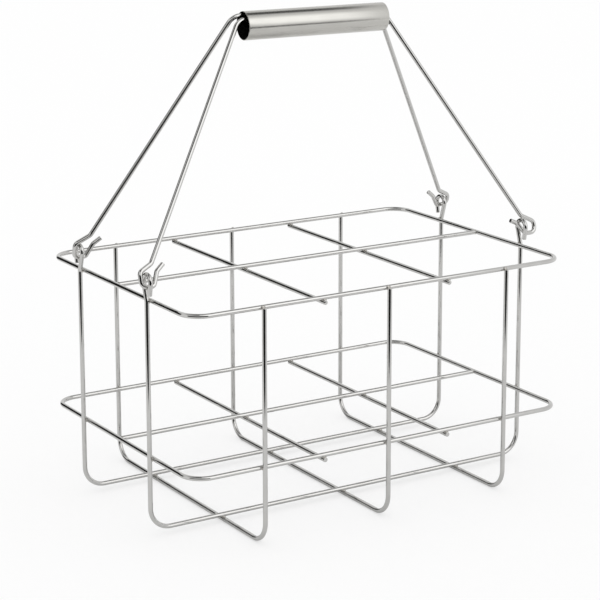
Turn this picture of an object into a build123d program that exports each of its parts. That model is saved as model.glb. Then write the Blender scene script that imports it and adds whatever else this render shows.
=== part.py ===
from build123d import *
from math import asin, atan2, cos, pi, radians, sin, sqrt, tan
import os

# Six-bottle wire caddy, millimetres, +Z up. The origin lies on the table under the middle of the basket.
# X runs along the basket, -Y is the front. Every path below is the centre line of a round wire.

# Wire stock and welds
wire = 3.2
weld_sink = 0.1
wire_radius = wire / 2
layer = wire - weld_sink
least_straight = 0.2

# Basket rings
ring_length = 300.0
ring_width = 205.0
ring_corner = 15.0
top_ring_height = 162.4
lower_ring_height = 54.0
ring_end = ring_length / 2
ring_side = ring_width / 2

# Dividers of the bottle bays
bay_pitch = 100.0
divider_overhang = 2.2
butt_bite = 0.4

# Upright wires, each bent in one U below the bottles
foot_bend = 15.0
cross_wire_pitch = 97.5
long_wire_offset = 49.5
cross_wire_side = ring_side + layer
long_wire_end = ring_end + layer

# Eyes at the ends of the lengthwise wires
eye_rise = 18.0
eye_inner_radius = 3.1
eye_stem_lean = 17.5
eye_end_lean = 10.4
eye_end_rise = 4.5
eye_bend = eye_inner_radius + wire_radius
eye_height = top_ring_height + eye_rise
eye_inner = long_wire_offset - tan(radians(eye_stem_lean)) * eye_rise
eye_middle = eye_inner + eye_bend * tan(radians(45 + eye_stem_lean / 2))

# Hinge lines of the handle, which cross the eyes' wires a little inside their tops
hinge_inset = 1.9
hinge_y = eye_middle - hinge_inset
hinge_height = eye_height - eye_bend + sqrt(eye_bend**2 - hinge_inset**2)

# Handle bails: the back wire lies over the front one inside the grip, and both tops are turned in plan with it
back_bail_length = 163.6
front_bail_shortfall = 2.4
front_bail_length = back_bail_length - front_bail_shortfall
back_top_y = 2.0
front_top_y = -3.2
back_shift = 1.5
front_shift = 2.7
bail_top_half = 56.8
bail_top_bend = 9.5
top_turn = 3.0

# Hooks at the feet of the bails, each bent by hand: back left, back right, front left, front right.
# A shoulder lies inboard of the eye's wire, a bowl stands clear outboard of it and under it, a tail inboard
shoulder_insets = (6.9, 4.6, 5.2, -1.3)
bowl_plays = (0.0, 0.8, 0.0, 7.9)
bowl_lifts = (5.2, 2.5, 4.6, 6.3)
knee_insets = (6.4, 5.6, 4.9, -0.2)
knee_rises = (0.7, 1.9, 1.3, -1.7)
tail_rises = (3.7, 4.2, 4.3, 2.5)
seat_gap = 0.4
bowl_gap = 0.3
bowl_width = 8.8
shoulder_slope = 27.0
shoulder_bend = 5.0
tail_reach = 5.2
tail_bend = 4.0
eye_clearance = wire + seat_gap

# Grip tube, which hangs on the back wire and has slid to the right
grip_diameter = 20.0
grip_wall = 0.7
grip_length = 110.6
grip_middle = 6.1
grip_y = -0.6
grip_edge = 0.3
grip_radius = grip_diameter / 2
bore_radius = grip_radius - grip_wall
hang_radius = bore_radius - wire_radius - seat_gap


def bent_wire(label, plane, corners, bends, close=False):
    """One round wire along straight runs joined by bends of the given centre-line radii."""
    with BuildPart() as piece:
        with BuildLine(plane) as path:
            FilletPolyline(corners, radius=bends, close=close)
        start = Plane(origin=path.line @ 0, z_dir=path.line % 0)
        with BuildSketch(start):
            Circle(wire_radius)
        sweep(path=path.line)
    piece.part.label = label
    return piece.part


def straight_wire(label, start, end):
    """One straight round wire between two points."""
    with BuildPart() as piece:
        with BuildLine() as path:
            Line(start, end)
        with BuildSketch(Plane(origin=path.line @ 0, z_dir=path.line % 0)):
            Circle(wire_radius)
        sweep(path=path.line)
    piece.part.label = label
    return piece.part


def ring(label, height):
    """A closed rectangle with round corners that holds the bottles together."""
    corners = [
        (-ring_end, -ring_side),
        (ring_end, -ring_side),
        (ring_end, ring_side),
        (-ring_end, ring_side),
    ]
    return bent_wire(label, Plane.XY.offset(height), corners, ring_corner, close=True)


def cross_wire(label, x):
    """A U across the basket whose bottom run is a foot."""
    corners = [
        (x, -cross_wire_side, top_ring_height),
        (x, -cross_wire_side, wire_radius),
        (x, cross_wire_side, wire_radius),
        (x, cross_wire_side, top_ring_height),
    ]
    return bent_wire(label, Plane.XY, corners, [foot_bend, foot_bend])


def eye_corners(end, side):
    """Corners of one eye, from the stem up over the top and down to the free end."""
    outer = eye_middle + eye_bend * tan(radians(45 + eye_end_lean / 2)) + least_straight
    free_end = outer - tan(radians(eye_end_lean)) * (eye_rise - eye_end_rise)
    x = end * long_wire_end
    return [
        (x, side * long_wire_offset, top_ring_height),
        (x, side * eye_inner, eye_height),
        (x, side * outer, eye_height),
        (x, side * free_end, top_ring_height + eye_end_rise),
    ]


def long_wire(label, side):
    """A U along the basket, laid on the feet, with an eye bent at each end."""
    bottom = wire_radius + layer
    left = eye_corners(-1, side)
    right = eye_corners(1, side)
    corners = left[::-1] + [
        (-long_wire_end, side * long_wire_offset, bottom),
        (long_wire_end, side * long_wire_offset, bottom),
    ] + right
    eye_bends = [eye_bend, eye_bend, eye_bend]
    return bent_wire(label, Plane.XY, corners, eye_bends + [foot_bend, foot_bend] + eye_bends)


def hook_corners(side, end):
    """Corners of one hook in the plane of its bail, from the leg down round to the tail.

    The shoulder passes over the wire of the eye, and the bowl turns under it.
    """
    which = 1 - side + (1 + end) // 2
    slope = tan(radians(shoulder_slope))
    over_eye = eye_clearance / cos(radians(shoulder_slope))
    bowl_out = eye_clearance + bowl_gap + bowl_plays[which]
    bottom = -eye_clearance - bowl_lifts[which]
    outboard = long_wire_end + bowl_out
    inboard = outboard - bowl_width
    knee = long_wire_end - eye_clearance - knee_insets[which]
    knee_height = knee_rises[which]
    corners = [
        (long_wire_end - shoulder_insets[which], over_eye + slope * shoulder_insets[which]),
        (outboard, over_eye - slope * bowl_out),
        (outboard, bottom),
        (inboard, bottom),
        (knee, knee_height),
        (knee - tail_reach, knee_height + tail_rises[which]),
    ]
    bowl_bend = bowl_width / 2 - least_straight
    lean = atan2(inboard - knee, knee_height - bottom)
    bends = [shoulder_bend, eye_clearance + bowl_gap, bowl_bend, bowl_bend / tan(pi / 4 + lean / 2), tail_bend]
    return [(end * x, height) for x, height in corners], bends


def on_bail(side, lean, x, height):
    """A point of a bail's leaning plane, given along the hinge line and up along the legs."""
    return Vector(x, side * (hinge_y - sin(lean) * height), hinge_height + cos(lean) * height)


def bail(label, side, length, top_y, shift):
    """A handle wire: hook, leg, flat top inside the grip, leg, hook."""
    left, left_bends = hook_corners(side, -1)
    right, right_bends = hook_corners(side, 1)
    lean = asin((hinge_y - abs(top_y)) / length)
    corners = [on_bail(side, lean, x, height) for x, height in left[::-1]]
    for x in (shift - bail_top_half, shift + bail_top_half):
        corners.append(on_bail(side, lean, x, length) - Vector(0, x * tan(radians(top_turn)), 0))
    corners += [on_bail(side, lean, x, height) for x, height in right]
    bends = left_bends[::-1] + [bail_top_bend, bail_top_bend] + right_bends
    return bent_wire(label, Plane.XY, corners, bends)


def grip_tube():
    """The open tube that the hand holds, with its outer edges broken."""
    turn = radians(top_turn)
    back_top_z = hinge_height + sqrt(back_bail_length**2 - (hinge_y - back_top_y) ** 2)
    grip_z = back_top_z - sqrt(hang_radius**2 - ((back_top_y - grip_y) * cos(turn)) ** 2)
    along = Vector(cos(turn), -sin(turn), 0)
    middle = Vector(grip_middle, grip_y - grip_middle * tan(turn), grip_z)
    left_mouth = Plane(origin=middle - along * (grip_length / 2), z_dir=along)
    with BuildPart() as tube:
        with BuildSketch(left_mouth):
            Circle(grip_radius)
            Circle(bore_radius, mode=Mode.SUBTRACT)
        extrude(amount=grip_length)
        rims = tube.edges().filter_by(GeomType.CIRCLE).group_by(SortBy.RADIUS)[-1]
        fillet(rims, grip_edge)
    tube.part.label = "grip_tube"
    return tube.part


pieces = [
    ring("top_ring", top_ring_height),
    ring("lower_ring", lower_ring_height),
    long_wire("front_long_wire", -1),
    long_wire("back_long_wire", 1),
    bail("back_bail", 1, back_bail_length, back_top_y, back_shift),
    bail("front_bail", -1, front_bail_length, front_top_y, front_shift),
    grip_tube(),
]

for place, step in (("left", -1), ("middle", 0), ("right", 1)):
    pieces.append(cross_wire(f"{place}_cross_wire", step * cross_wire_pitch))

for level, height in (("top", top_ring_height), ("lower", lower_ring_height)):
    reach = ring_end - wire_radius + butt_bite
    pieces.append(straight_wire(f"{level}_long_divider", (-reach, 0, height), (reach, 0, height)))
    for place, step in (("left", -1), ("right", 1)):
        x = step * bay_pitch / 2
        front = (x, -ring_side - divider_overhang, height - layer)
        back = (x, ring_side + divider_overhang, height - layer)
        pieces.append(straight_wire(f"{level}_{place}_divider", front, back))

os.makedirs("parts", exist_ok=True)
for piece in pieces:
    export_step(piece, f"parts/{piece.label}.step")
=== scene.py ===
import random
from math import asin, atan2, ceil, cos, pi, radians, sin, sqrt, tan

import bmesh
import bpy
from mathutils import Matrix, Vector


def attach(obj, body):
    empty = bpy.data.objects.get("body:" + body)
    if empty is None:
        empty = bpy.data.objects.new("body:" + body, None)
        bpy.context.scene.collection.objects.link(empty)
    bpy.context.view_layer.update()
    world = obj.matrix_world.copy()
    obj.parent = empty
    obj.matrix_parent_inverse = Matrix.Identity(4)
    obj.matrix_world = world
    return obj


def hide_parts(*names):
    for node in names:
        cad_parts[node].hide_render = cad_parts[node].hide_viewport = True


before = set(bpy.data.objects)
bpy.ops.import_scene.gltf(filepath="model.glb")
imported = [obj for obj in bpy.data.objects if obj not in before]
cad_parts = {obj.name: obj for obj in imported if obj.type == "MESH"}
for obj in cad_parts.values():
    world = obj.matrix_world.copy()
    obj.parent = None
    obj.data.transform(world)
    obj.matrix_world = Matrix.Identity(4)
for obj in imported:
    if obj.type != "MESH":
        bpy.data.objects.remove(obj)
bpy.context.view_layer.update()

# The caddy in bright steel, in metres, +Z up. The origin lies on the table under the middle of the
# basket. X runs along the basket, and -Y is the front. Sizes are those of the CAD
MM = 0.001

# Wire stock and welds
WIRE = 3.2 * MM
WELD_SINK = 0.1 * MM
WIRE_RADIUS = WIRE / 2
LAYER = WIRE - WELD_SINK
LEAST_STRAIGHT = 0.2 * MM
CUT_EDGE = 0.25 * MM
CUT_EDGE_STEPS = 3

# How finely the pieces are drawn. The holding run keeps a straight side straight up to its bend,
# and touching points are one point
WIRE_SIDES = 28
BEND_STEP = radians(6)
LEAST_BEND_STEPS = 3
HOLDING_RUN = 0.8 * MM
TOUCHING = 0.01 * MM
SHARP_ANGLE = radians(50)

# Basket rings and dividers
RING_END = 150.0 * MM
RING_SIDE = 102.5 * MM
RING_CORNER = 15.0 * MM
TOP_RING_HEIGHT = 162.4 * MM
LOWER_RING_HEIGHT = 54.0 * MM
BAY_PITCH = 100.0 * MM
DIVIDER_OVERHANG = 2.2 * MM
BUTT_BITE = 0.4 * MM
DIVIDER_REACH = RING_END - WIRE_RADIUS + BUTT_BITE
DIVIDER_END = RING_SIDE + DIVIDER_OVERHANG

# Upright wires
FOOT_BEND = 15.0 * MM
CROSS_WIRE_PITCH = 97.5 * MM
LONG_WIRE_OFFSET = 49.5 * MM
CROSS_WIRE_SIDE = RING_SIDE + LAYER
LONG_WIRE_END = RING_END + LAYER

# Eyes
EYE_RISE = 18.0 * MM
EYE_BEND = 3.1 * MM + WIRE_RADIUS
EYE_STEM_LEAN = radians(17.5)
EYE_END_LEAN = radians(10.4)
EYE_END_RISE = 4.5 * MM
EYE_HEIGHT = TOP_RING_HEIGHT + EYE_RISE
EYE_INNER = LONG_WIRE_OFFSET - tan(EYE_STEM_LEAN) * EYE_RISE
EYE_MIDDLE = EYE_INNER + EYE_BEND * tan(pi / 4 + EYE_STEM_LEAN / 2)

# Handle wires, which hinge on the eyes' wires a little inside their tops
HINGE_INSET = 1.9 * MM
HINGE_Y = EYE_MIDDLE - HINGE_INSET
HINGE_HEIGHT = EYE_HEIGHT - EYE_BEND + sqrt(EYE_BEND ** 2 - HINGE_INSET ** 2)
BACK_BAIL_LENGTH = 163.6 * MM
FRONT_BAIL_LENGTH = 161.2 * MM
BACK_TOP_Y = 2.0 * MM
FRONT_TOP_Y = -3.2 * MM
BACK_SHIFT = 1.5 * MM
FRONT_SHIFT = 2.7 * MM
BAIL_TOP_HALF = 56.8 * MM
BAIL_TOP_BEND = 9.5 * MM
TOP_TURN = radians(3)

# Hooks: back left, back right, front left, front right
SHOULDER_INSETS = (6.9 * MM, 4.6 * MM, 5.2 * MM, -1.3 * MM)
BOWL_PLAYS = (0, 0.8 * MM, 0, 7.9 * MM)
BOWL_LIFTS = (5.2 * MM, 2.5 * MM, 4.6 * MM, 6.3 * MM)
KNEE_INSETS = (6.4 * MM, 5.6 * MM, 4.9 * MM, -0.2 * MM)
KNEE_RISES = (0.7 * MM, 1.9 * MM, 1.3 * MM, -1.7 * MM)
TAIL_RISES = (3.7 * MM, 4.2 * MM, 4.3 * MM, 2.5 * MM)
SEAT_GAP = 0.4 * MM
BOWL_GAP = 0.3 * MM
BOWL_WIDTH = 8.8 * MM
SHOULDER_SLOPE = radians(27)
SHOULDER_BEND = 5.0 * MM
TAIL_REACH = 5.2 * MM
TAIL_BEND = 4.0 * MM
EYE_CLEARANCE = WIRE + SEAT_GAP

# Grip tube
GRIP_RADIUS = 10.0 * MM
GRIP_WALL = 0.7 * MM
GRIP_LENGTH = 110.6 * MM
GRIP_MIDDLE = 6.1 * MM
GRIP_Y = -0.6 * MM
GRIP_EDGE = 0.3 * MM
GRIP_EDGE_STEPS = 4
GRIP_SIDES = 128
BORE_RADIUS = GRIP_RADIUS - GRIP_WALL
BORE_MARGIN = 0.05 * MM
HANG_RADIUS = BORE_RADIUS - WIRE_RADIUS - SEAT_GAP
OUTSIDE_FINISH, INSIDE_FINISH = 0, 1

# Weld beads: how far they spread and how thick they are, as shares of the wire's radius
BEAD_SPREAD = (1.0, 1.2)
BEAD_THICKNESS = (0.52, 0.66)
BEAD_FINENESS = 3
BEAD_SEED = 4

# Finishes: the darkest and lightest colour, and roughness as the least and the span above it.
# Patterns: ripples per metre along X, Y and Z, layers of detail, and how rough each layer is.
# The draw marks are counted in the straight wire, whose length is Z
WIRE_COLOURS = ((0.60, 0.595, 0.58, 1), (0.70, 0.695, 0.68, 1))
WIRE_MOTTLE = ((140, 140, 140), 3.0, 0.5)
WIRE_DRAW_MARKS = ((2600, 2600, 60), 4.0, 0.6)
WIRE_MARK_DEPTH = 0.03 * MM
WIRE_MARK_STRENGTH = 0.03
WIRE_ROUGHNESS = (0.015, 0.05)
BEAD_COLOURS = ((0.46, 0.44, 0.40, 1), (0.62, 0.60, 0.57, 1))
BEAD_MOTTLE = ((900, 900, 900), 3.0, 0.6)
BEAD_ROUGHNESS = (0.2, 0.2)
GRIP_COLOURS = ((0.57, 0.56, 0.53, 1), (0.65, 0.64, 0.605, 1))
GRIP_CLOUD = ((60, 140, 140), 3.0, 0.5)
GRIP_LINES = ((3000, 120, 120), 4.0, 0.6)
GRIP_LINE_DEPTH = 0.02 * MM
GRIP_LINE_STRENGTH = 0.08
GRIP_ROUGHNESS = (0.14, 0.12)
# The bore's near black colour is painted shade: the dark inside the tube
BORE_PAINTED_SHADE_COLOURS = ((0.03, 0.03, 0.03, 1), (0.06, 0.058, 0.055, 1))
BORE_MOTTLE = ((200, 600, 600), 3.0, 0.6)
BORE_ROUGHNESS = (0.4, 0.2)

# The table: a shade of grey that rises from the first to the second over a span of distances in
# metres, so it is a little darker near the caddy as painted shade round it. The bright steel
# mirrors a darker one, a painted shaded copy that is darkest near the caddy as the basket's
# painted shadow, which ends in front of the caddy and far round it
TABLE_RADIUS = 9.0
TABLE_SIDES = 96
TABLE_SPAN, TABLE_GREYS_WITH_PAINTED_SHADE = (0.2, 1.2), (0.975, 0.985)
MIRRORED_SPAN, MIRRORED_PAINTED_SHADES = (0.05, 0.22), (0.66, 0.78)
MIRRORED_FRONT = (0.39, 0.46)
MIRRORED_END = (0.8, 1.0)
TOWARD_CAMERA = (-0.53, -0.85, 0)
TABLE_WHITENING = 0.5

# The studio that the bright steel mirrors, with levels where 1 is white and directions in degrees.
# Azimuth 0 is the front and 90 the right. Pitch 0 is the front, 90 overhead and 180 the back.
# Bands are given as low, high and the softness of both edges. The soft box rises between its first
# two values and falls between its last two: across in the X of the direction, and up in pitch
PLAIN_LIGHT = 1.0
WALL_SPAN, WALL_LEVELS = (-20, 30), (0.92, 0.76)
SOFT_BOX_WIDTH = (-0.3, 0.15, 0.555, 0.6)
SOFT_BOX_PITCH = (-6, 18, 45, 77)
SOFT_BOX_LEVEL = 1.5
GAP_ABOVE, GAP_ABOVE_LEVEL = (90, 120, 16), 0.07
GAP_BELOW, GAP_BELOW_LEVEL = (-17.5, -7.5, 4), 0.1
ROOM_AZIMUTH = (-84, 10, 6)
ROOM_TOP = (17, 21)
ROOM_LEVEL = 0.015
DOORWAY_AZIMUTH = (-179, -120, 4)
DOORWAY_HEIGHT = (-13, 33, 3)
DOORWAY_LEVEL = 0.015
CEILING_AZIMUTH = (-125, -28, 12)
CEILING_HEIGHT = (49.5, 82, 4)
CEILING_LEVEL = 0.06

# The lamp that shades the table
LAMP_PLACE = (0.7, 0.6, 2.2)
LAMP_AIM = (0, 0, 0.05)
LAMP_SIZE = 2.0
LAMP_POWER = 0.3

# The camera, fitted to the photograph, with its focal length and shift in pixels and its turns
# in degrees
PICTURE_PIXELS = 600
SENSOR_WIDTH = 36
FOCAL_PIXELS = 2080.11
SHIFT_PIXELS = (-15.87, -89.5)
CAMERA_PLACE = Vector((-759.13, -1218.09, 508.19)) * MM
CAMERA_DIP = 12.268
CAMERA_HEADING = -32.21


def ring_ahead(bm, edges, travelled):
    """The wire's next ring, copied from the last one and still on top of it."""
    geom = bmesh.ops.extrude_edge_only(bm, edges=edges)["geom"]
    verts = [g for g in geom if isinstance(g, bmesh.types.BMVert)]
    fresh = set(verts)
    rims = [g for g in geom if isinstance(g, bmesh.types.BMEdge) and set(g.verts) <= fresh]
    drawn = bm.verts.layers.float_vector["drawn"]
    for v in verts:
        v[drawn] = v[drawn] + Vector((0, 0, travelled))
    return verts, rims


def run_straight(bm, edges, step):
    """Feeds the wire straight on by one step, with a holding run at each end of a long one."""
    run = step.length
    parts = [1]
    if run > 3 * HOLDING_RUN:
        parts = [HOLDING_RUN / run, 1 - 2 * HOLDING_RUN / run, HOLDING_RUN / run]
    for part in parts:
        verts, edges = ring_ahead(bm, edges, run * part)
        bmesh.ops.translate(bm, vec=step * part, verts=verts)
    return edges


def run_bend(bm, edges, centre, axis, turn, bend_radius):
    """Feeds the wire round a bend about an axis through its centre."""
    steps = max(LEAST_BEND_STEPS, ceil(turn / BEND_STEP))
    matrix = Matrix.Rotation(turn / steps, 3, axis)
    for _ in range(steps):
        verts, edges = ring_ahead(bm, edges, turn / steps * bend_radius)
        bmesh.ops.rotate(bm, cent=centre, matrix=matrix, verts=verts)
    return edges


def feed_wire(corners, bends=(), closed=False):
    """A round wire bent along its corners, each with its centre-line radius.

    The attribute drawn holds each point's place in the wire before it was bent.
    """
    points = [Vector(c) for c in corners]
    if closed:
        points = [(points[-1] + points[0]) / 2] + points
        points = points + [points[0]]
    heading = (points[1] - points[0]).normalized()
    bm = bmesh.new()
    drawn = bm.verts.layers.float_vector.new("drawn")
    first = bmesh.ops.create_circle(bm, radius=WIRE_RADIUS, segments=WIRE_SIDES)["verts"]
    for v in first:
        v[drawn] = v.co
    aim = heading.to_track_quat("Z", "Y").to_matrix().to_4x4()
    bmesh.ops.transform(bm, matrix=Matrix.Translation(points[0]) @ aim, verts=first)
    start_edges = list(bm.edges)
    edges = start_edges
    at = points[0]
    for here, ahead, bend_radius in zip(points[1:], points[2:], bends):
        onward = (ahead - here).normalized()
        turn = heading.angle(onward)
        bend_start = here - heading * bend_radius * tan(turn / 2)
        inward = (onward - heading * onward.dot(heading)).normalized()
        centre = bend_start + inward * bend_radius
        edges = run_straight(bm, edges, bend_start - at)
        edges = run_bend(bm, edges, centre, heading.cross(onward), turn, bend_radius)
        at = here + onward * bend_radius * tan(turn / 2)
        heading = onward
    if closed:
        edges = run_straight(bm, edges, points[-1] - heading * LEAST_STRAIGHT - at)
        run_straight(bm, edges, heading * LEAST_STRAIGHT)
        bmesh.ops.remove_doubles(bm, verts=bm.verts[:], dist=TOUCHING)
    else:
        edges = run_straight(bm, edges, points[-1] - at)
        cut_square(bm, start_edges + edges)
    bmesh.ops.recalc_face_normals(bm, faces=bm.faces[:])
    return bm


def break_edges(bm, edges, width, steps):
    """Rounds sharp edges over."""
    bmesh.ops.bevel(bm, geom=edges, affect="EDGES", offset=width, offset_type="OFFSET",
                    segments=steps, profile=0.5, material=-1)


def cut_square(bm, edges):
    """Closes a wire's two cut ends and breaks their edges."""
    bmesh.ops.holes_fill(bm, edges=edges, sides=0)
    break_edges(bm, edges, CUT_EDGE, CUT_EDGE_STEPS)


def place_piece(bm, name, body, material, node=None):
    """Makes the mesh an object that rides on its body and stands for its node."""
    mesh = bpy.data.meshes.new(name)
    bm.to_mesh(mesh)
    bm.free()
    for face in mesh.polygons:
        face.use_smooth = True
    mesh.set_sharp_from_angle(angle=SHARP_ANGLE)
    piece = bpy.data.objects.new(name, mesh)
    bpy.context.scene.collection.objects.link(piece)
    mesh.materials.append(material)
    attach(piece, body)
    if node:
        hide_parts(node)
    return piece


def ring_corners(height):
    """Corners of a basket ring."""
    return [
        (-RING_END, RING_SIDE, height),
        (-RING_END, -RING_SIDE, height),
        (RING_END, -RING_SIDE, height),
        (RING_END, RING_SIDE, height),
    ]


def cross_wire_corners(x):
    """Corners of a U across the basket, whose bottom run is a foot."""
    return [
        (x, -CROSS_WIRE_SIDE, TOP_RING_HEIGHT),
        (x, -CROSS_WIRE_SIDE, WIRE_RADIUS),
        (x, CROSS_WIRE_SIDE, WIRE_RADIUS),
        (x, CROSS_WIRE_SIDE, TOP_RING_HEIGHT),
    ]


def eye_corners(end, side):
    """Corners of one eye, from the stem up over the top and down to the free end."""
    outer = EYE_MIDDLE + EYE_BEND * tan(pi / 4 + EYE_END_LEAN / 2) + LEAST_STRAIGHT
    free_end = outer - tan(EYE_END_LEAN) * (EYE_RISE - EYE_END_RISE)
    x = end * LONG_WIRE_END
    return [
        (x, side * LONG_WIRE_OFFSET, TOP_RING_HEIGHT),
        (x, side * EYE_INNER, EYE_HEIGHT),
        (x, side * outer, EYE_HEIGHT),
        (x, side * free_end, TOP_RING_HEIGHT + EYE_END_RISE),
    ]


def long_wire_corners(side):
    """Corners of a U along the basket with an eye at each end."""
    y, bottom = side * LONG_WIRE_OFFSET, WIRE_RADIUS + LAYER
    base = [(-LONG_WIRE_END, y, bottom), (LONG_WIRE_END, y, bottom)]
    return eye_corners(-1, side)[::-1] + base + eye_corners(1, side)


def hook_corners(side, end):
    """Corners and bends of one hook in the plane of its handle wire, from the leg to the tail.

    The shoulder passes over the wire of the eye, and the bowl turns under it. The side is 1 at the
    back and -1 at the front, and the end is 1 at the right and -1 at the left.
    """
    which = 1 - side + (1 + end) // 2
    slope = tan(SHOULDER_SLOPE)
    over_eye = EYE_CLEARANCE / cos(SHOULDER_SLOPE)
    bowl_out = EYE_CLEARANCE + BOWL_GAP + BOWL_PLAYS[which]
    bottom = -EYE_CLEARANCE - BOWL_LIFTS[which]
    outboard = LONG_WIRE_END + bowl_out
    inboard = outboard - BOWL_WIDTH
    knee = LONG_WIRE_END - EYE_CLEARANCE - KNEE_INSETS[which]
    knee_height = KNEE_RISES[which]
    corners = [
        (LONG_WIRE_END - SHOULDER_INSETS[which], over_eye + slope * SHOULDER_INSETS[which]),
        (outboard, over_eye - slope * bowl_out),
        (outboard, bottom),
        (inboard, bottom),
        (knee, knee_height),
        (knee - TAIL_REACH, knee_height + TAIL_RISES[which]),
    ]
    bowl_bend = BOWL_WIDTH / 2 - LEAST_STRAIGHT
    lean = atan2(inboard - knee, knee_height - bottom)
    rising_bend = bowl_bend / tan(pi / 4 + lean / 2)
    bends = [SHOULDER_BEND, EYE_CLEARANCE + BOWL_GAP, bowl_bend, rising_bend, TAIL_BEND]
    return [(end * x, height) for x, height in corners], bends


def feed_bail(side, length, top_y, shift):
    """A handle wire: hook, leg, flat top inside the grip, leg, hook."""
    left, left_bends = hook_corners(side, -1)
    right, right_bends = hook_corners(side, 1)
    lean = asin((HINGE_Y - abs(top_y)) / length)
    tops = [(shift - BAIL_TOP_HALF, length), (shift + BAIL_TOP_HALF, length)]
    corners = []
    for x, height in left[::-1] + tops + right:
        aside = x * tan(TOP_TURN) if (x, height) in tops else 0
        y = side * (HINGE_Y - sin(lean) * height) - aside
        corners.append((x, y, HINGE_HEIGHT + cos(lean) * height))
    return feed_wire(corners, left_bends[::-1] + [BAIL_TOP_BEND, BAIL_TOP_BEND] + right_bends)


def turn_grip():
    """The grip tube: its wall's outline turned about X, then laid on the back handle wire."""
    bm = bmesh.new()
    mouth = GRIP_LENGTH / 2
    outline = [
        (-mouth, BORE_RADIUS),
        (-mouth, GRIP_RADIUS),
        (mouth, GRIP_RADIUS),
        (mouth, BORE_RADIUS),
    ]
    verts = [bm.verts.new((x, 0, r)) for x, r in outline]
    edges = [bm.edges.new((a, b)) for a, b in zip(verts, verts[1:] + verts[:1])]
    bmesh.ops.spin(bm, geom=verts + edges, cent=(0, 0, 0), axis=(1, 0, 0), angle=2 * pi,
                   steps=GRIP_SIDES, use_merge=True)
    bmesh.ops.remove_doubles(bm, verts=bm.verts[:], dist=TOUCHING)
    rims = [
        edge for edge in bm.edges
        if abs(edge.verts[0].co.x - edge.verts[1].co.x) < TOUCHING
        and all(v.co.yz.length > GRIP_RADIUS - TOUCHING for v in edge.verts)
    ]
    break_edges(bm, rims, GRIP_EDGE, GRIP_EDGE_STEPS)
    bmesh.ops.recalc_face_normals(bm, faces=bm.faces[:])
    for face in bm.faces:
        near_bore = face.calc_center_median().yz.length < BORE_RADIUS + BORE_MARGIN
        at_mouth = abs(face.normal.x) > 0.5
        face.material_index = INSIDE_FINISH if near_bore and not at_mouth else OUTSIDE_FINISH
    wire_height = HINGE_HEIGHT + sqrt(BACK_BAIL_LENGTH ** 2 - (HINGE_Y - BACK_TOP_Y) ** 2)
    hang = sqrt(HANG_RADIUS ** 2 - ((BACK_TOP_Y - GRIP_Y) * cos(TOP_TURN)) ** 2)
    middle = Vector((GRIP_MIDDLE, GRIP_Y - GRIP_MIDDLE * tan(TOP_TURN), wire_height - hang))
    place = Matrix.Translation(middle) @ Matrix.Rotation(-TOP_TURN, 4, "Z")
    bmesh.ops.transform(bm, matrix=place, verts=bm.verts[:])
    return bm


def weld_places():
    """Where two wires are welded, with the direction from one wire to the other."""
    along, across, up = (1, 0, 0), (0, 1, 0), (0, 0, 1)
    end_groove, side_groove = RING_END + LAYER / 2, RING_SIDE + LAYER / 2
    places = []
    for side in (-1, 1):
        y = side * LONG_WIRE_OFFSET
        for step in (-1, 0, 1):
            places.append(((step * CROSS_WIRE_PITCH, y, WIRE_RADIUS + LAYER / 2), up))
    for height in (TOP_RING_HEIGHT, LOWER_RING_HEIGHT):
        for side in (-1, 1):
            y = side * LONG_WIRE_OFFSET
            for end in (-1, 1):
                places.append(((end * end_groove, y, height), along))
            for step in (-1, 0, 1):
                places.append(((step * CROSS_WIRE_PITCH, side * side_groove, height), across))
            places.append(((side * (RING_END - WIRE_RADIUS), 0, height), along))
        for step in (-1, 1):
            for y in (-RING_SIDE, 0, RING_SIDE):
                places.append(((step * BAY_PITCH / 2, y, height - LAYER / 2), up))
    return places


def melt_welds(places):
    """The small beads that fill the groove where two wires were pressed together and welded."""
    bm = bmesh.new()
    chance = random.Random(BEAD_SEED)
    for place, toward in places:
        ball = bmesh.ops.create_icosphere(bm, subdivisions=BEAD_FINENESS, radius=WIRE_RADIUS)
        bead = ball["verts"]
        wide = chance.uniform(*BEAD_SPREAD)
        long = chance.uniform(*BEAD_SPREAD)
        thick = chance.uniform(*BEAD_THICKNESS)
        bmesh.ops.scale(bm, vec=(wide, long, thick), verts=bead)
        aim = Vector(toward).to_track_quat("Z", "Y").to_matrix().to_4x4()
        bmesh.ops.transform(bm, matrix=Matrix.Translation(place) @ aim, verts=bead)
    return bm


def link_in(tree, node, socket, value):
    """Sets a socket to a value, or links it when the value is another node's output."""
    if isinstance(value, bpy.types.NodeSocket):
        tree.links.new(value, node.inputs[socket])
    else:
        node.inputs[socket].default_value = value


def maths(tree, operation, a, b=0.0, c=0.0):
    """A Math node's output."""
    node = tree.nodes.new("ShaderNodeMath")
    node.operation = operation
    for socket, value in enumerate((a, b, c)):
        link_in(tree, node, socket, value)
    return node.outputs[0]


def ramp(tree, value, span, levels=(0.0, 1.0)):
    """A smooth change from the first level to the second as the value crosses the span."""
    node = tree.nodes.new("ShaderNodeMapRange")
    node.interpolation_type = "SMOOTHSTEP"
    link_in(tree, node, "Value", value)
    node.inputs["From Min"].default_value, node.inputs["From Max"].default_value = span
    node.inputs["To Min"].default_value, node.inputs["To Max"].default_value = levels
    return node.outputs["Result"]


def fade_out(tree, value, span):
    """1 below the span and 0 above it."""
    return ramp(tree, value, span, (1.0, 0.0))


def both(tree, one, other):
    """1 where one mask and the other are 1."""
    return maths(tree, "MULTIPLY", one, other)


def rise_and_fall(tree, value, rise_from, rise_to, fall_from, fall_to):
    """0, then 1 between the rise and the fall, then 0 again."""
    rise = ramp(tree, value, (rise_from, rise_to))
    return both(tree, rise, fade_out(tree, value, (fall_from, fall_to)))


def between(tree, value, low, high, soft):
    """1 between low and high and 0 outside, with soft edges."""
    half = soft / 2
    return rise_and_fall(tree, value, low - half, low + half, high - half, high + half)


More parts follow.
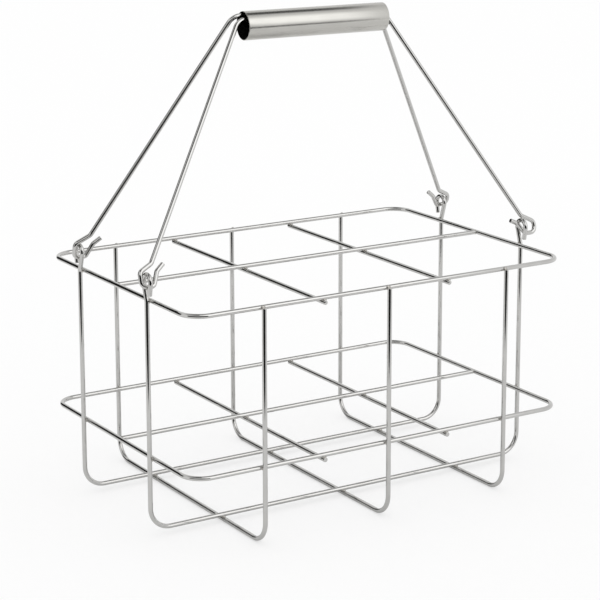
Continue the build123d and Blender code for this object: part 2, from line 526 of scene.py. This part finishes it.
def blend_to(tree, below, above, share):
    """below where share is 0 and above where it is 1."""
    node = tree.nodes.new("ShaderNodeMix")
    node.data_type = "FLOAT"
    link_in(tree, node, 0, share)
    link_in(tree, node, 2, below)
    link_in(tree, node, 3, above)
    return node.outputs[0]


def blend_colours(tree, below, above, share):
    """One colour blended into another."""
    node = tree.nodes.new("ShaderNodeMix")
    node.data_type = "RGBA"
    link_in(tree, node, 0, share)
    link_in(tree, node, 6, below)
    link_in(tree, node, 7, above)
    return node.outputs[2]


def mix_shaders(tree, below, above, share):
    """The shader below where share is 0 and the one above where it is 1."""
    node = tree.nodes.new("ShaderNodeMixShader")
    for socket, value in enumerate((share, below, above)):
        link_in(tree, node, socket, value)
    return node.outputs[0]


def matt_grey(tree, level):
    """A plain matt shader in a shade of grey."""
    grey = tree.nodes.new("ShaderNodeCombineColor")
    for channel in ("Red", "Green", "Blue"):
        link_in(tree, grey, channel, level)
    matt = tree.nodes.new("ShaderNodeBsdfDiffuse")
    link_in(tree, matt, "Color", grey.outputs[0])
    return matt.outputs[0]


def object_place(tree):
    """Each point's place in its object."""
    return tree.nodes.new("ShaderNodeTexCoord").outputs["Object"]


def grain(tree, place, ripples, detail, rough):
    """Noise with its own number of ripples per metre each way."""
    node = tree.nodes.new("ShaderNodeMapping")
    link_in(tree, node, "Vector", place)
    node.inputs["Scale"].default_value = ripples
    noise = tree.nodes.new("ShaderNodeTexNoise")
    link_in(tree, noise, "Vector", node.outputs[0])
    noise.inputs["Scale"].default_value = 1.0
    noise.inputs["Detail"].default_value = detail
    noise.inputs["Roughness"].default_value = rough
    return noise.outputs["Fac"]


def bare_metal(name):
    """A new metal, with its node tree and its shader."""
    material = bpy.data.materials.new(name)
    material.use_nodes = True
    shader = material.node_tree.nodes["Principled BSDF"]
    shader.inputs["Metallic"].default_value = 1.0
    return material, material.node_tree, shader


def colour(tree, shader, colours, tints):
    """Colours the metal from dark to light by its tints."""
    link_in(tree, shader, "Base Color", blend_colours(tree, *colours, tints))


def roughen(tree, shader, roughness, marks):
    """Dulls the metal from its least roughness up by its marks."""
    least, span = roughness
    link_in(tree, shader, "Roughness", maths(tree, "MULTIPLY_ADD", marks, span, least))


def score(tree, shader, marks, strength, depth):
    """Shades the metal as if the marks were cut into it."""
    bump = tree.nodes.new("ShaderNodeBump")
    bump.inputs["Strength"].default_value = strength
    bump.inputs["Distance"].default_value = depth
    link_in(tree, bump, "Height", marks)
    link_in(tree, shader, "Normal", bump.outputs[0])


def polished_wire_steel():
    """Bright drawn wire: long faint draw marks and soft mottling from the polishing barrel."""
    material, tree, shader = bare_metal("polished_wire_steel")
    drawn = tree.nodes.new("ShaderNodeAttribute")
    drawn.attribute_name = "drawn"
    marks = grain(tree, drawn.outputs["Vector"], *WIRE_DRAW_MARKS)
    colour(tree, shader, WIRE_COLOURS, grain(tree, object_place(tree), *WIRE_MOTTLE))
    roughen(tree, shader, WIRE_ROUGHNESS, marks)
    score(tree, shader, marks, WIRE_MARK_STRENGTH, WIRE_MARK_DEPTH)
    return material


def satin_grip_steel():
    """Ground and brushed tube: fine grinding lines round it and soft bands along it."""
    material, tree, shader = bare_metal("satin_grip_steel")
    place = object_place(tree)
    lines = grain(tree, place, *GRIP_LINES)
    colour(tree, shader, GRIP_COLOURS, grain(tree, place, *GRIP_CLOUD))
    roughen(tree, shader, GRIP_ROUGHNESS, lines)
    score(tree, shader, lines, GRIP_LINE_STRENGTH, GRIP_LINE_DEPTH)
    return material


def mottled_steel(name, colours, mottle, roughness):
    """Dull steel whose darker spots are its smoother ones."""
    material, tree, shader = bare_metal(name)
    spots = grain(tree, object_place(tree), *mottle)
    colour(tree, shader, colours, spots)
    roughen(tree, shader, roughness, spots)
    return material


def pale_table():
    """Near white with soft shadows and a little painted shade near the caddy. In the bright steel
    it is a darker painted shaded copy, darkest near the caddy as the basket's painted shadow, and
    ends round the caddy.
    """
    material = bpy.data.materials.new("pale_table")
    material.use_nodes = True
    tree = material.node_tree
    tree.nodes.clear()
    place = object_place(tree)
    far = tree.nodes.new("ShaderNodeVectorMath")
    far.operation = "LENGTH"
    link_in(tree, far, 0, place)
    distance = far.outputs["Value"]
    forward = tree.nodes.new("ShaderNodeVectorMath")
    forward.operation = "DOT_PRODUCT"
    link_in(tree, forward, 0, place)
    forward.inputs[1].default_value = TOWARD_CAMERA

    rays = tree.nodes.new("ShaderNodeLightPath").outputs
    # The table's grey, a little darker near the caddy: painted shade round it
    plain = matt_grey(tree, ramp(tree, distance, TABLE_SPAN, TABLE_GREYS_WITH_PAINTED_SHADE))
    white = tree.nodes.new("ShaderNodeEmission").outputs[0]
    whitening = maths(tree, "MULTIPLY", rays["Is Camera Ray"], TABLE_WHITENING)
    seen = mix_shaders(tree, plain, white, whitening)

    # A darker painted shaded copy of the table for the steel to mirror, darkest near the caddy as
    # the basket's painted shadow
    mirrored_painted_shade = matt_grey(tree, ramp(tree, distance, MIRRORED_SPAN, MIRRORED_PAINTED_SHADES))
    clear = tree.nodes.new("ShaderNodeBsdfTransparent").outputs[0]
    before_edge = fade_out(tree, forward.outputs["Value"], MIRRORED_FRONT)
    on_table = both(tree, before_edge, fade_out(tree, distance, MIRRORED_END))
    mirrored = mix_shaders(tree, clear, mirrored_painted_shade, on_table)

    out = tree.nodes.new("ShaderNodeOutputMaterial")
    surface = mix_shaders(tree, seen, mirrored, rays["Is Glossy Ray"])
    link_in(tree, out, "Surface", surface)
    return material


def lay_floor():
    """A round table top under the caddy."""
    bm = bmesh.new()
    bmesh.ops.create_circle(bm, cap_ends=True, radius=TABLE_RADIUS, segments=TABLE_SIDES)
    mesh = bpy.data.meshes.new("floor")
    bm.to_mesh(mesh)
    bm.free()
    floor = bpy.data.objects.new("floor", mesh)
    bpy.context.scene.collection.objects.link(floor)
    mesh.materials.append(pale_table())


def mirrored_studio(tree):
    """How bright the studio is in each direction: pale walls, a soft box and unlit parts."""
    parts = tree.nodes.new("ShaderNodeSeparateXYZ")
    link_in(tree, parts, 0, tree.nodes.new("ShaderNodeTexCoord").outputs["Generated"])
    x, y, z = parts.outputs
    front = maths(tree, "MULTIPLY", y, -1.0)
    height = maths(tree, "DEGREES", maths(tree, "ARCSINE", z))
    azimuth = maths(tree, "DEGREES", maths(tree, "ARCTAN2", x, front))
    pitch = maths(tree, "DEGREES", maths(tree, "ARCTAN2", z, front))

    box_width = rise_and_fall(tree, x, *SOFT_BOX_WIDTH)
    box = both(tree, box_width, rise_and_fall(tree, pitch, *SOFT_BOX_PITCH))
    gap_above = both(tree, box_width, between(tree, pitch, *GAP_ABOVE))
    gap_below = both(tree, box_width, between(tree, pitch, *GAP_BELOW))
    room_width = between(tree, azimuth, *ROOM_AZIMUTH)
    room = both(tree, room_width, fade_out(tree, height, ROOM_TOP))
    doorway_width = between(tree, azimuth, *DOORWAY_AZIMUTH)
    doorway = both(tree, doorway_width, between(tree, height, *DOORWAY_HEIGHT))
    ceiling_width = between(tree, azimuth, *CEILING_AZIMUTH)
    ceiling = both(tree, ceiling_width, between(tree, height, *CEILING_HEIGHT))

    brightness = ramp(tree, height, WALL_SPAN, WALL_LEVELS)
    for level, share in (
        (SOFT_BOX_LEVEL, box),
        (GAP_ABOVE_LEVEL, gap_above),
        (GAP_BELOW_LEVEL, gap_below),
        (ROOM_LEVEL, room),
        (DOORWAY_LEVEL, doorway),
        (CEILING_LEVEL, ceiling),
    ):
        brightness = blend_to(tree, brightness, level, share)
    return brightness


def hang_studio():
    """White all round for the camera, plain light for the table, the studio for the steel."""
    world = bpy.data.worlds.new("studio")
    bpy.context.scene.world = world
    world.use_nodes = True
    tree = world.node_tree
    tree.nodes.clear()
    rays = tree.nodes.new("ShaderNodeLightPath").outputs
    lit = blend_to(tree, PLAIN_LIGHT, mirrored_studio(tree), rays["Is Glossy Ray"])
    seen = maths(tree, "MAXIMUM", rays["Is Camera Ray"], rays["Is Transmission Ray"])
    back = tree.nodes.new("ShaderNodeBackground")
    back.inputs["Color"].default_value = (1, 1, 1, 1)
    link_in(tree, back, "Strength", blend_to(tree, lit, 1.0, seen))
    out = tree.nodes.new("ShaderNodeOutputWorld")
    link_in(tree, out, "Surface", back.outputs[0])


def hang_lamp():
    """A square soft lamp that only lights the table: the studio's own lights are in the world."""
    data = bpy.data.lights.new("key_lamp", "AREA")
    data.shape = "SQUARE"
    data.size = LAMP_SIZE
    data.energy = LAMP_POWER
    lamp = bpy.data.objects.new("key_lamp", data)
    bpy.context.scene.collection.objects.link(lamp)
    lamp.location = LAMP_PLACE
    aim = Vector(LAMP_AIM) - Vector(LAMP_PLACE)
    lamp.rotation_euler = aim.to_track_quat("-Z", "Y").to_euler()
    lamp.visible_glossy = False


def set_camera():
    """The photograph's viewpoint: a long lens shifted down, so that uprights look upright."""
    data = bpy.data.cameras.new("camera")
    data.sensor_width = SENSOR_WIDTH
    data.lens = FOCAL_PIXELS / PICTURE_PIXELS * SENSOR_WIDTH
    data.shift_x, data.shift_y = [shift / PICTURE_PIXELS for shift in SHIFT_PIXELS]
    camera = bpy.data.objects.new("camera", data)
    bpy.context.scene.collection.objects.link(camera)
    camera.location = CAMERA_PLACE
    camera.rotation_euler = (radians(90 - CAMERA_DIP), 0, radians(CAMERA_HEADING))
    bpy.context.scene.camera = camera


steel = polished_wire_steel()
grip_steel = satin_grip_steel()
bead_steel = mottled_steel("weld_bead_steel", BEAD_COLOURS, BEAD_MOTTLE, BEAD_ROUGHNESS)
# The bore's near black steel is painted shade inside the tube
painted_shade_bore_steel = mottled_steel("bore_steel_painted_shade", BORE_PAINTED_SHADE_COLOURS, BORE_MOTTLE, BORE_ROUGHNESS)

rings = (("top", TOP_RING_HEIGHT), ("lower", LOWER_RING_HEIGHT))
basket_wires = []
for label, height in rings:
    wire = feed_wire(ring_corners(height), [RING_CORNER] * 4, closed=True)
    basket_wires.append((label + "_ring", wire))

for label, step in (("left", -1), ("middle", 0), ("right", 1)):
    wire = feed_wire(cross_wire_corners(step * CROSS_WIRE_PITCH), [FOOT_BEND] * 2)
    basket_wires.append((label + "_cross_wire", wire))

long_wire_bends = [EYE_BEND] * 3 + [FOOT_BEND] * 2 + [EYE_BEND] * 3
for label, side in (("front", -1), ("back", 1)):
    wire = feed_wire(long_wire_corners(side), long_wire_bends)
    basket_wires.append((label + "_long_wire", wire))

for label, height in rings:
    wire = feed_wire([(-DIVIDER_REACH, 0, height), (DIVIDER_REACH, 0, height)])
    basket_wires.append((label + "_long_divider", wire))
    for where, step in (("left", -1), ("right", 1)):
        x = step * BAY_PITCH / 2
        wire = feed_wire([(x, -DIVIDER_END, height - LAYER), (x, DIVIDER_END, height - LAYER)])
        basket_wires.append((f"{label}_{where}_divider", wire))

for node, wire in basket_wires:
    place_piece(wire, node + "_polished", "basket", steel, node)

bail = feed_bail(1, BACK_BAIL_LENGTH, BACK_TOP_Y, BACK_SHIFT)
place_piece(bail, "back_bail_polished", "back_handle", steel, "back_bail")
bail = feed_bail(-1, FRONT_BAIL_LENGTH, FRONT_TOP_Y, FRONT_SHIFT)
place_piece(bail, "front_bail_polished", "front_handle", steel, "front_bail")

grip = place_piece(turn_grip(), "grip_tube_satin", "grip", grip_steel, "grip_tube")
grip.data.materials.append(painted_shade_bore_steel)
place_piece(melt_welds(weld_places()), "weld_beads", "basket", bead_steel)

lay_floor()
hang_studio()
hang_lamp()
set_camera()
bpy.context.scene.view_settings.view_transform = "Standard"
